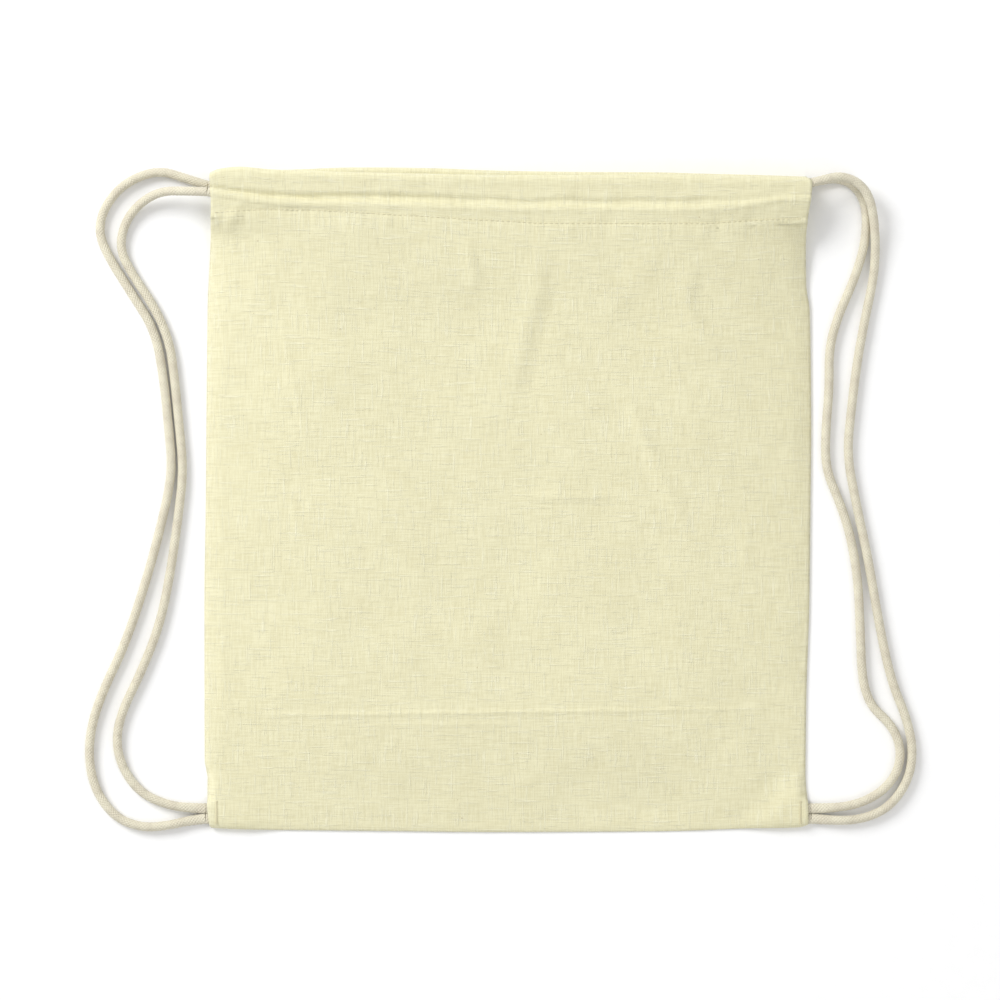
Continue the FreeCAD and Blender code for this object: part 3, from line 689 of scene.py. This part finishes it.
def front_height(x, y, left, right, bottom):
    """The front cloth's own height between the side edges, the bottom fold and the hem's stitches."""
    from_side = np.clip(np.minimum(x - left, right - x), 0, None)
    broad = 1 - np.clip(1 - from_side / BROAD_RISE, 0, 1) ** FULLNESS
    narrow = 1 - np.clip(1 - from_side / NARROW_RISE, 0, 1) ** 2
    side_share = BROAD_SHARE * broad + (1 - BROAD_SHARE) * narrow
    foot_share = 1 - np.clip(1 - (y - bottom) / FOOT_RISE, 0, 1) ** FULLNESS
    edge = EDGE_HEIGHT(y)
    height = edge + (MIDDLE_HEIGHT(y) - edge) * side_share * foot_share
    freedom = ease(from_side / HELD_MARGIN) * ease((y - bottom) / HELD_MARGIN)
    relief = sum(strength * waves(x, y * squeeze, size, seed) for strength, size, squeeze, seed in RELIEF)
    height = height + relief * MM * freedom
    for line, half_width, lift, step in FOLDS:
        height = height + fold_height(x, y, line, half_width, lift, step) * np.maximum(freedom, 0.5)
    into_corner = (np.abs(x) - CORNER_X) - (y - CORNER_Y)
    closed_seam = (1 - ease(from_side / SEAM_WIDTH)) * ease((y - SEAM_END_Y) / SEAM_END_SOFTNESS)
    cover = ease((into_corner + CORNER_REACH) / CORNER_SOFTNESS) * (1 - closed_seam)
    cover = cover * ease((y - COVER_END_Y) / COVER_END_SOFTNESS)
    height = height + (CORNER_HEIGHT - height) * cover
    for centre_x, centre_y, size, depth in DIMPLES:
        height = height + depth * MM * bell(np.hypot(x - centre_x, y - centre_y), size * MM)
    return height


def pleats(x, y, line, reach):
    """The short gathers that the cords make across a line of stitches."""
    broad = waves(x, y * 0.22, PLEAT_SIZE, 11.3)
    fine = waves(x, y * 0.3, PLEAT_SIZE / 2.3, 4.9)
    return PLEAT_HEIGHT * (broad + 0.5 * fine) * bell(y - line, reach)


def front_hem_height(x, y, foot):
    """The outer layer of the front hem: over both cords, with a groove between them."""
    wander = waves(x, x * 0, 0.023, 8.8)
    uneven = waves(x, x * 0, 0.041, 2.6)
    upper, lower = UPPER_CORD(x), LOWER_CORD(x)
    groove = DARK_GROOVE(x) + (GROOVE_WANDER * wander + GROOVE_SHIFT) * MM
    stitches = HEM_STITCHES(x)
    climb = ease((y - stitches) / (lower - stitches)) ** 0.9
    height = foot + (HEM_TOP - foot) * climb
    height = height + LOWER_RIDGE * bell(y - lower, LOWER_RIDGE_WIDTH)
    height = height + UPPER_RIDGE * bell(y - upper, UPPER_RIDGE_WIDTH)
    # The groove is deepest at the left and shallowest at the right.
    strength = 0.75 + 0.35 * ease((-0.02 - x) / 0.06) - 0.35 * ease((x - 0.10) / 0.05)
    depth = (GROOVE_DEPTH + GROOVE_CHANGE * uneven) * MM * strength
    height = height - depth * bell(y - groove, np.where(y > groove, GROOVE_WIDTH_ABOVE, GROOVE_WIDTH_BELOW))
    for cord_y in (upper, lower):
        over_cord = front_cord_level + np.sqrt(np.clip(COVER_RADIUS**2 - (y - cord_y) ** 2, 0, None))
        height = np.where(np.abs(y - cord_y) < COVER_RADIUS, np.maximum(height, over_cord), height)
    return height


def back_height(x, y):
    """The back cloth's own height: flat on the floor, and lifted to the front cloth at its edges."""
    from_side = np.clip(np.minimum(x - LEFT_EDGE(y), RIGHT_EDGE(y) - x), 0, None)
    curl = BACK_EDGE_HEIGHT(y) * np.clip(1 - from_side / BACK_CURL_WIDTH, 0, 1) ** 2
    return BACK_LEVEL + curl


COLUMNS = 200
across = np.linspace(0, 1, COLUMNS + 1)
BACK_LEVEL, BACK_CURL_WIDTH = 0.05 * MM, 0.020
LAYER_GAP, LAYER_SLOPE = 1.2 * MM, 9 * MM
RAW_EDGE = 2.5 * MM
STITCH_OFFSET = 1.2 * MM
STITCH_DIP, STITCH_DIP_WIDTH = 0.20 * MM, 0.0008
BACK_STITCHES_DOWN = 14 * MM
BACK_FOLD_START = 3.9 * MM
BACK_SINK_FROM, BACK_SINK_OVER = 11 * MM, 9.5 * MM
PLEAT_FADE, PLEAT_SHIFT = 6, 0.5
GROOVE_PLEATS, STITCH_PLEATS, PANEL_PLEATS, BACK_PLEATS = 0.007, 0.006, 0.010, 0.009
BACK_PLEAT_SHIFT, BACK_PLEAT_GAIN, BACK_PLEATS_UP = 1.1, 1.4, 8 * MM
FOLD_HOLD, FOLD_HOLD_FADE = 0.8, 8
PANEL_TOP, PLAIN_FROM = 0.1765, 0.1700
CREASE_FROM, CREASE_TO = -0.1275, -0.1470
LOW_FROM, LOW_TO = -0.1485, -0.2030
HEM_GAP, PLAIN_GAP, CREASE_GAP = 0.0011, 0.0021, 0.00075
FOLLOW_STITCHES_FROM, FOLLOW_BOTTOM_FROM = 0.05, -0.150
BOTTOM_FOLD_REACH = 0.0065
WEAR_WIDTH = 0.004


def column_x(y):
    """X of the cloth's points in one row, from the left edge to the right one."""
    left, right = LEFT_EDGE(y), RIGHT_EDGE(y)
    return left + (right - left) * across


def cloth_row(y, z):
    return np.stack([column_x(y), y, z], 1)


flat_x = column_x(np.full(COLUMNS + 1, 0.19))
stitch_y = HEM_STITCHES(flat_x)
front_fold_y, back_fold_y = FRONT_FOLD(flat_x), BACK_FOLD(flat_x)
back_stitch_y = hem_line(flat_x) - BACK_STITCHES_DOWN
bottom_y = BOTTOM_EDGE(flat_x)
fold_radius = 3.55 * MM
upper_level = 20.65 * MM
lower_level = upper_level - 2 * fold_radius
back_top = 7.75 * MM
back_radius = (back_top - BACK_LEVEL) / 2
foot_x = column_x(stitch_y)
foot_height = front_height(foot_x, stitch_y, LEFT_EDGE(stitch_y), RIGHT_EDGE(stitch_y), BOTTOM_EDGE(foot_x))


def fold_rows(fold_y, radius, low, angles):
    """A hem's fold: rows round a half circle, from its lower layer up to its upper one."""
    made = []
    for turn in np.radians(angles):
        y = fold_y - radius + radius * math.cos(turn)
        made.append(cloth_row(y, np.full_like(y, low + radius + radius * math.sin(turn))))
    return made


def front_inner_rows():
    """The front hem's inner layer, from its raw edge just past the stitches up to the fold."""
    start, end = stitch_y - RAW_EDGE, front_fold_y - fold_radius
    made = []
    for share in np.linspace(0, 1, 15):
        y = start + (end - start) * share
        rise = ease((y - stitch_y) / LAYER_SLOPE)
        made.append(cloth_row(y, (foot_height - LAYER_GAP) * (1 - rise) + lower_level * rise))
    return made


def front_outer_rows():
    """The front hem's outer layer, from the fold down to the stitches."""
    start = front_fold_y - fold_radius
    made = []
    for share in np.linspace(0, 1, 40):
        y = start + (stitch_y - start) * share
        x = column_x(y)
        pleating = pleats(x, y, DARK_GROOVE(x), GROOVE_PLEATS)
        pleating = pleating + pleats(x + PLEAT_SHIFT, y, stitch_y, STITCH_PLEATS)
        z = front_hem_height(x, y, foot_height)
        z = z + (upper_level - z) * (1 - ease(share * FOLD_HOLD_FADE)) * FOLD_HOLD
        z = z + pleating * ease(share * PLEAT_FADE)
        z = z - STITCH_DIP * bell(y - stitch_y - STITCH_OFFSET, STITCH_DIP_WIDTH)
        made.append(cloth_row(y, z))
    return made


def front_panel_rows():
    """The front panel: rows that stand closer under the hem and where the cloth was folded for storing."""
    marks = np.concatenate([
        np.arange(PANEL_TOP, PLAIN_FROM, -HEM_GAP),
        np.arange(PLAIN_FROM, CREASE_FROM, -PLAIN_GAP),
        np.arange(CREASE_FROM, CREASE_TO, -CREASE_GAP),
        np.arange(LOW_FROM, LOW_TO, -PLAIN_GAP),
    ])
    first, last = marks[0], marks[-1]
    made = []
    for mark in marks:
        top_share = ease((mark - FOLLOW_STITCHES_FROM) / (first - FOLLOW_STITCHES_FROM))
        foot_share = ease((FOLLOW_BOTTOM_FROM - mark) / (FOLLOW_BOTTOM_FROM - last))
        y = mark + (stitch_y - STITCH_OFFSET - first) * top_share
        y = y + (bottom_y + BOTTOM_FOLD_REACH - last) * foot_share
        x = column_x(y)
        z = front_height(x, y, LEFT_EDGE(y), RIGHT_EDGE(y), BOTTOM_EDGE(x))
        made.append(cloth_row(y, z + pleats(x + PLEAT_SHIFT, y, stitch_y, PANEL_PLEATS)))
    return made


def bottom_fold_rows(last_row):
    """The fold along the bottom edge, round from the front panel's last row down to the back."""
    last_y, last_z = last_row[:, 1], last_row[:, 2]
    middle, half = (last_z + BACK_LEVEL) / 2, (last_z - BACK_LEVEL) / 2
    made = []
    for turn in np.radians(np.linspace(0, 180, 11)[1:-1]):
        y = last_y - (last_y - bottom_y) * math.sin(turn)
        made.append(cloth_row(y, middle + half * math.cos(turn)))
    return made


def back_rows(start, end, shares):
    """The back panel or the back hem's outer layer, which lie on the floor."""
    made = []
    for share in shares:
        y = start + (end - start) * share
        made.append(cloth_row(y, back_height(column_x(y), y)))
    return made


def back_inner_rows():
    """The back hem's inner layer: over the cords, then down to the back panel at the stitches."""
    start, end = back_fold_y - back_radius, back_stitch_y - RAW_EDGE
    made = []
    for share in np.linspace(0, 1, 22)[1:]:
        y = start + (end - start) * share
        x = column_x(y)
        sink = ease((back_stitch_y + BACK_SINK_FROM - y) / BACK_SINK_OVER)
        z = back_top + (back_height(x, y) + LAYER_GAP - back_top) * sink
        pleating = pleats(x + BACK_PLEAT_SHIFT, y, back_stitch_y + BACK_PLEATS_UP, BACK_PLEATS)
        made.append(cloth_row(y, z + BACK_PLEAT_GAIN * pleating * ease(share * PLEAT_FADE)))
    return made


half_circle = np.linspace(-90, 90, 13)
rows = front_inner_rows() + fold_rows(front_fold_y, fold_radius, lower_level, half_circle[1:-1])
hem_first_row = len(rows)
rows += front_outer_rows()
panel_first_row = len(rows)
rows += front_panel_rows()
panel_end_row = len(rows)
panel_last = rows[-1]
rows += bottom_fold_rows(panel_last)
rows += back_rows(panel_last[:, 1], back_stitch_y, np.linspace(0, 1, 46))
rows += back_rows(back_stitch_y, back_fold_y - BACK_FOLD_START, np.linspace(0, 1, 12)[1:])
rows += fold_rows(back_fold_y, back_radius, BACK_LEVEL, half_circle[1:])
back_inner_row = len(rows)
rows += back_inner_rows()

grid = np.array(rows)
steps = np.linalg.norm(np.diff(grid, axis=0), axis=2).mean(axis=1)
travelled = np.concatenate([[0], np.cumsum(steps)])
row_count, column_count = grid.shape[:2]
cloth_uv = np.stack([grid[:, :, 0], np.repeat(travelled[:, None], column_count, 1)], 2).reshape(-1, 2)
from_edge = np.minimum(grid[:, :, 0] - LEFT_EDGE(grid[:, :, 1]), RIGHT_EDGE(grid[:, :, 1]) - grid[:, :, 0])
wear = np.exp(-np.clip(from_edge, 0, None) / WEAR_WIDTH)
bag_cloth = make_object("bag_cloth", grid.reshape(-1, 3), grid_faces(row_count, column_count), cloth_material,
                        cloth_uv, {"wear": wear.ravel()})
thickness = bag_cloth.modifiers.new("thickness", "SOLIDIFY")
thickness.thickness = CLOTH_THICKNESS
thickness.offset = -1
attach(bag_cloth, "bag")
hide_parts("back_panel", "front_panel", "bottom_fold", "left_side_seam", "right_side_seam",
            "front_hem_outer", "front_hem_slope", "front_hem_fold", "front_hem_inner",
            "back_hem_outer", "back_hem_inner")

# ---- cords inside the hems and corners ----------------------------------------------------------

CORD_SIDES = {
    "left": (-1, "left_outer_strand", "left_inner_strand"),
    "right": (1, "right_lower_strand", "right_upper_strand"),
}
RUN_POINTS, LOOP_POINTS = 40, 25
SEWN_FLATNESS, SEWN_TAPER = 0.62, 0.1


def make_hidden_runs(side_name, side, back_strand, front_strand):
    """One cord's way through both hems and round its far loop, as one braid."""
    back_exit = Vector(STRAND_ROUTES[back_strand][0])
    front_exit = Vector(STRAND_ROUTES[front_strand][0])
    loop_low, loop_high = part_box(f"{side_name}_cord_far_loop")
    far_x = loop_low.x if side > 0 else loop_high.x
    loop_x = loop_high.x if side > 0 else loop_low.x
    reach = abs(far_x - loop_x) - cord_radius

    front_line = UPPER_CORD if side > 0 else LOWER_CORD
    back_end = Vector((loop_x, back_exit.y + hem_slope * (loop_x - back_exit.x), back_exit.z))
    front_run = [
        Vector((x, float(front_line(x)), front_exit.z))
        for x in np.linspace(loop_x, front_exit.x, RUN_POINTS)
    ]
    front_end = front_run[0]
    middle, half_rise = (back_end + front_end) / 2, (front_end - back_end) / 2
    bend = [
        middle - half_rise * math.cos(angle) + Vector((-side * reach * math.sin(angle), 0, 0))
        for angle in np.linspace(0, math.pi, LOOP_POINTS)
    ]
    route = [back_exit, *bend, *front_run[1:-1], front_exit]
    piece, _ = braided_tube(f"{side_name}_cord_in_hems", np.array(route), HIDDEN_STEP, HIDDEN_SIDES)
    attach(piece, f"{side_name}_cord")
    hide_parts(*(f"{side_name}_cord_{part}" for part in ("front_run", "back_run", "far_loop")))


def squeezed_flat(share):
    """A sewn end is flat all along, and a little flatter towards its tip."""
    return SEWN_FLATNESS - SEWN_TAPER * share


def make_sewn_end(side_name, side, level, strand):
    """The end of a strand inside the corner, squeezed flat between the two cloths."""
    foot = Vector(STRAND_ROUTES[strand][-1])
    node = f"{side_name}_{level}_sewn_end"
    low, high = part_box(node)
    inside = low.x if side > 0 else high.x
    route = np.array([foot, Vector((inside, foot.y, foot.z))])
    piece, _ = braided_tube(f"{node}_braid", route, HIDDEN_STEP, HIDDEN_SIDES, squeezed_flat)
    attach(piece, "bag")
    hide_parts(node)


for side_name, (side, back_strand, front_strand) in CORD_SIDES.items():
    make_hidden_runs(side_name, side, back_strand, front_strand)
make_sewn_end("left", -1, "outer", "left_outer_strand")
make_sewn_end("left", -1, "inner", "left_inner_strand")
make_sewn_end("right", 1, "outer", "right_upper_strand")
make_sewn_end("right", 1, "inner", "right_lower_strand")

# ---- seam allowances, stitches and corner bars --------------------------------------------------

THREAD_RADIUS, SEAM_THREAD_RADIUS, BAR_THREAD_RADIUS = 0.22 * MM, 0.12 * MM, 0.2 * MM
THREAD_SIDES, THREAD_TIP = 6, 0.55
STITCH_PITCH, STITCH_GAP, STITCH_LIFT = 3.4 * MM, 0.22, 0.1 * MM
STITCH_ARCH = np.array([-0.16, 0.06, 0.12, 0.06, -0.16]) * MM
ALLOWANCE_TOP_Y, ALLOWANCE_STEP, ALLOWANCE_THICKNESS = 0.130, 1.6 * MM, 0.6 * MM
ALLOWANCE_OUTER, ALLOWANCE_INNER, ALLOWANCE_LEVEL = 3.4 * MM, 10.8 * MM, 0.95 * MM
SEAM_IN, SEAM_LEVEL, SEAM_ARCH, SEAM_GAP = 5.2 * MM, 1.2 * MM, 0.16 * MM, 0.5 * MM
# One overcast stitch, in mm: past the raw edge, share of the way to the seam, step along Y, and level.
OVERCAST = [(0.3, 0, 0, 0.90), (0, 0, 0.2, 1.34), (0, 0.5, 0.8, 1.38), (0, 1, 1.4, 1.32)]
# One stitch of a corner bar: place across the bar from -1 to 1, and height in mm.
BAR_STITCH = [(-1, -0.15), (-0.5, 0.14), (0, 0.2), (0.5, 0.14), (1, -0.15)]
BAR_REACH, BAR_LEAN, BAR_PITCH = 0.9 * MM, 0.25 * MM, 0.55 * MM
BAR_OUT, BAR_START = 2.2 * MM, 1.6 * MM


def thread_run(points, radius, vertices, faces, uvs):
    """Adds one run of thread through the points, tapering to its ends, to the lists."""
    points = np.array(points)
    ahead = np.gradient(points, axis=0)
    ahead /= np.linalg.norm(ahead, axis=1)[:, None]
    guide = np.array([0, 0, 1.0]) if abs(ahead[0, 2]) < 0.9 else np.array([0, 1.0, 0])
    side = np.cross(ahead, guide)
    side /= np.linalg.norm(side, axis=1)[:, None]
    up = np.cross(side, ahead)
    first = len(vertices)
    ends = (0, len(points) - 1)
    for number, point in enumerate(points):
        size = radius * (THREAD_TIP if number in ends else 1)
        for place in range(THREAD_SIDES):
            turn = place / THREAD_SIDES * 2 * math.pi
            outward = side[number] * math.cos(turn) + up[number] * math.sin(turn)
            vertices.append(point + size * outward)
            uvs.append((turn * radius, float(np.linalg.norm(point - points[0]))))
    faces.extend(ring_faces(first, len(points), THREAD_SIDES))


def make_threads(name, runs, node, radius=THREAD_RADIUS):
    """All the stitches of one seam, as one piece."""
    vertices, faces, uvs = [], [], []
    for run in runs:
        thread_run(run, radius, vertices, faces, uvs)
    piece = make_object(name, vertices, faces, thread_material, uvs)
    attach(piece, "bag")
    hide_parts(node)


def cloth_surface(first_row, end_row):
    """A function that gives the cloth's height at (x, y), from some of its rows."""
    flat = grid[first_row:end_row].reshape(-1, 3)

    def height(x, y):
        near = np.argmin(np.hypot(flat[:, 0] - x, flat[:, 1] - y))
        return float(flat[near, 2])

    return height


def stitch_row(xs, line, height):
    """Stitches that arch a little and sink into the cloth at both ends."""
    runs = []
    for start, end in zip(xs[:-1], xs[1:]):
        xs_here = np.linspace(start, end - STITCH_GAP * (end - start), len(STITCH_ARCH))
        places = [(x, float(line(x))) for x in xs_here]
        runs.append([(x, y, height(x, y) + arch + STITCH_LIFT) for (x, y), arch in zip(places, STITCH_ARCH)])
    return runs


def front_stitch_line(x):
    return HEM_STITCHES(x) + STITCH_OFFSET


def back_stitch_line(x):
    return hem_line(x) - BACK_STITCHES_DOWN - STITCH_OFFSET


front_surface = cloth_surface(hem_first_row, panel_first_row + 12)
inner_surface = cloth_surface(back_inner_row, len(rows))
front_marks = np.arange(-0.1855, 0.186, STITCH_PITCH)
back_marks = np.arange(-0.163, 0.1635, STITCH_PITCH)
front_runs = stitch_row(front_marks, front_stitch_line, front_surface)
back_runs = stitch_row(back_marks, back_stitch_line, inner_surface)
make_threads("front_hem_stitches", front_runs, "front_hem_stitching")
make_threads("back_hem_stitches", back_runs, "back_hem_stitching")


def make_seam_allowance(side_name, side):
    """The two raw edges, turned inside along the seam and bound together with thread."""
    low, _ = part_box(f"{side_name}_seam_allowance")
    ys = np.arange(low.y, ALLOWANCE_TOP_Y, ALLOWANCE_STEP)
    shares = np.linspace(0, 1, 9)
    edge = RIGHT_EDGE(ys) if side > 0 else LEFT_EDGE(ys)
    wander = waves(ys, ys * 0, 0.03, 6.3) * 0.5 * MM
    outer, inner = edge - side * ALLOWANCE_OUTER, edge - side * ALLOWANCE_INNER + wander
    vertices, uvs = [], []
    lift = BACK_EDGE_HEIGHT(ys) * 0.6
    for y, a, b, rise in zip(ys, outer, inner, lift):
        for share in shares:
            wave = 0.05 * MM * math.sin(y * 900 + share * 2) * share
            x = a + (b - a) * share
            vertices.append((x, y, ALLOWANCE_LEVEL + wave + rise * (1 - share) ** 2))
            uvs.append((x, y))
    # The same faces as the bag's, turned over so that they face up.
    faces = [(face[0], *face[:0:-1]) for face in grid_faces(len(ys), len(shares))]
    strip = make_object(f"{side_name}_allowance_cloth", vertices, faces, cloth_material, uvs,
                        {"wear": np.full(len(vertices), 0.6)})
    body = strip.modifiers.new("thickness", "SOLIDIFY")
    body.thickness = ALLOWANCE_THICKNESS
    body.offset = 0
    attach(strip, "bag")
    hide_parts(f"{side_name}_seam_allowance")
    seam_x = edge - side * SEAM_IN
    runs = []
    for first in range(0, len(ys) - 3, 2):
        middle, last = first + 1, first + 2
        runs.append([(seam_x[first], ys[first], SEAM_LEVEL),
                     (seam_x[middle], ys[middle], SEAM_LEVEL + SEAM_ARCH),
                     (seam_x[last], ys[last] - SEAM_GAP, SEAM_LEVEL)])
    for y, a, b in zip(ys[:-1], inner, seam_x - side * MM):
        runs.append([(a - side * past * MM + (b - a) * share, y + step * MM, level * MM)
                     for past, share, step, level in OVERCAST])
    make_threads(f"{side_name}_seam_threads", runs, f"{side_name}_seam_stitching", SEAM_THREAD_RADIUS)


def make_corner_bar(side_name, side):
    """A short bar of close stitches through the cloth and both cord ends."""
    low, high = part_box(f"{side_name}_corner_tack")
    x = (low.x + high.x) / 2 + side * BAR_OUT
    surface = cloth_surface(panel_first_row, panel_end_row)
    runs = []
    for number, y in enumerate(np.arange(low.y + BAR_START, high.y, BAR_PITCH)):
        lean = BAR_LEAN * (-1) ** number
        level = surface(x, y)
        runs.append([(x + BAR_REACH * k, y + lean * k, level + rise * MM) for k, rise in BAR_STITCH])
    make_threads(f"{side_name}_corner_bar", runs, f"{side_name}_corner_tack", BAR_THREAD_RADIUS)


for side_name, (side, _, _) in CORD_SIDES.items():
    make_seam_allowance(side_name, side)
    make_corner_bar(side_name, side)

# ---- floor and end ------------------------------------------------------------------------------

FLOOR_SIZE = 8

bpy.ops.mesh.primitive_plane_add(size=FLOOR_SIZE)
floor = bpy.context.object
floor.name = "studio_floor"
floor.data.materials.append(floor_paper())
